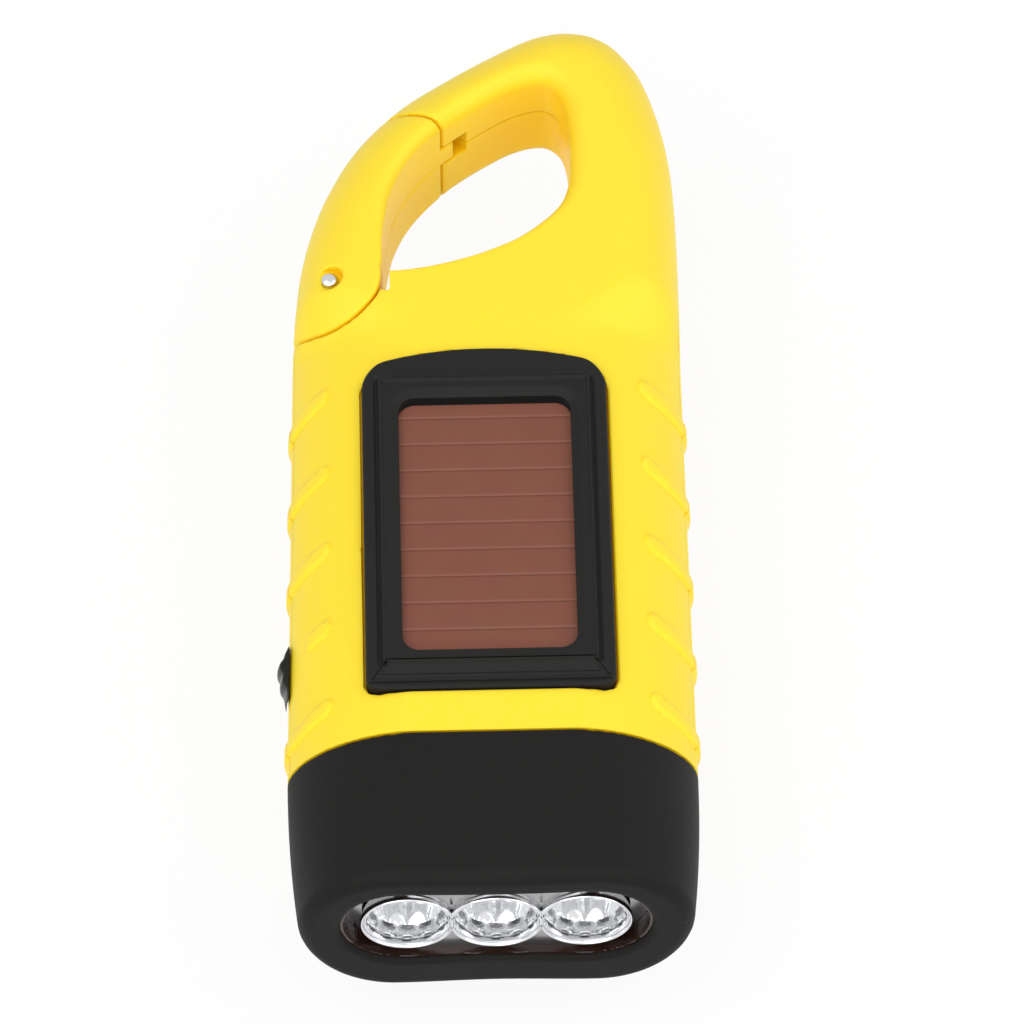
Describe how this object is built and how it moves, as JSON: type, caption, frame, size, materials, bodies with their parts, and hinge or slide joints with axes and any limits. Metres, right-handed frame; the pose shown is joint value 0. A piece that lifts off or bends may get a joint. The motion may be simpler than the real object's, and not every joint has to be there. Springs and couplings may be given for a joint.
{
  "type": "hand crank flashlight",
  "caption": "Palm-size solar and hand crank flashlight with a sprung carabiner gate, lenses in a stadium opening and a folding crank under its back.",
  "frame": {"origin": "middle of the footprint, at the outer face of the crank arm that the flashlight rests on", "axes": "+Y from the head to the carabiner's tip, +Z from the crank to the solar cell, +X to the right seen from the solar side with the tip up"},
  "size_m": [0.0534, 0.1338, 0.0372],
  "materials": {
    "yellow_shell": "satin gloss moulded yellow plastic",
    "black_head": "fine grained matte black plastic",
    "black_bezel": "satin black plastic",
    "solar": "brown solar cell under clear coat",
    "chrome_reflector": "vacuum plated chrome",
    "clear_lens": "clear moulded lens",
    "led_body": "clear LED body",
    "steel": "plain bright steel",
    "board": "green circuit board",
    "white_gear": "natural white gear plastic",
    "magnet": "sintered magnet",
    "yoke": "laminated steel",
    "copper": "enamelled copper winding",
    "cell": "sleeved cell"
  },
  "bodies": {
    "housing": {"front_shell": "yellow_shell", "rear_shell": "yellow_shell", "housing_screw_1": "steel", "housing_screw_2": "steel", "housing_screw_3": "steel", "housing_screw_4": "steel", "head_bezel": "black_head", "reflector": "chrome_reflector", "lens_left": "clear_lens", "lens_middle": "clear_lens", "lens_right": "clear_lens", "led_left": "led_body", "led_middle": "led_body", "led_right": "led_body", "led_board": "board", "solar_bezel": "black_bezel", "solar_cell": "solar", "main_board": "board", "battery_cell_1": "cell", "battery_cell_2": "cell", "battery_cell_3": "cell", "switch_body": "black_head", "gate_pin": "steel", "gate_spring": "steel", "gear_plate": "steel", "second_axle": "steel", "third_axle": "steel", "stator_yoke": "yoke", "stator_coil": "copper"},
    "gate": {"carabiner_gate": "yellow_shell"},
    "switch": {"switch_cap": "black_bezel", "switch_slider": "white_gear"},
    "crank": {"crank_arm": "black_head", "crank_axle": "white_gear", "crank_screw": "steel", "crank_gear": "white_gear", "knob_hinge_pin": "steel"},
    "knob_arm": {"knob_stem": "black_head"},
    "grip": {"knob_grip": "black_head"},
    "compound_gear_2": {"second_gear": "white_gear"},
    "compound_gear_3": {"third_gear": "white_gear"},
    "rotor": {"rotor_shaft": "steel", "rotor_pinion": "white_gear", "rotor_magnet": "magnet"}
  },
  "joints": [
    {"name": "gate_swing", "type": "hinge", "parent": "housing", "child": "gate", "pos_m": [-0.01955, 0.0246, 0.027], "axis": [0, 0, 1], "range_deg": [-20, 0], "stiffness_Nm_per_rad": 0.03, "springref_deg": 20.05},
    {"name": "switch_slide", "type": "slide", "parent": "housing", "child": "switch", "axis": [0, -1, 0], "range_m": [0, 0.003]},
    {"name": "crank_spin", "type": "hinge", "parent": "housing", "child": "crank", "pos_m": [0, -0.0052, 0.0088], "axis": [0, 0, 1], "continuous": true},
    {"name": "knob_fold", "type": "hinge", "parent": "crank", "child": "knob_arm", "pos_m": [0, -0.0402, 0.0039], "axis": [-1, 0, 0], "range_deg": [0, 90]},
    {"name": "knob_spin", "type": "hinge", "parent": "knob_arm", "child": "grip", "pos_m": [0, -0.0302, 0.0039], "axis": [0, 1, 0], "continuous": true},
    {"name": "second_gear_spin", "type": "hinge", "parent": "housing", "child": "compound_gear_2", "pos_m": [-0.00879, -0.02405, 0.017], "axis": [0, 0, 1], "continuous": true},
    {"name": "third_gear_spin", "type": "hinge", "parent": "housing", "child": "compound_gear_3", "pos_m": [0.00421, -0.02405, 0.019], "axis": [0, 0, 1], "continuous": true},
    {"name": "rotor_spin", "type": "hinge", "parent": "housing", "child": "rotor", "pos_m": [0.01192, -0.03324, 0.025], "axis": [0, 0, 1], "continuous": true}
  ],
  "couplings": [
    {"joint": "second_gear_spin", "follows": "crank_spin", "ratio": -3.3333},
    {"joint": "third_gear_spin", "follows": "crank_spin", "ratio": 11.111},
    {"joint": "rotor_spin", "follows": "crank_spin", "ratio": -33.333}
  ]
}
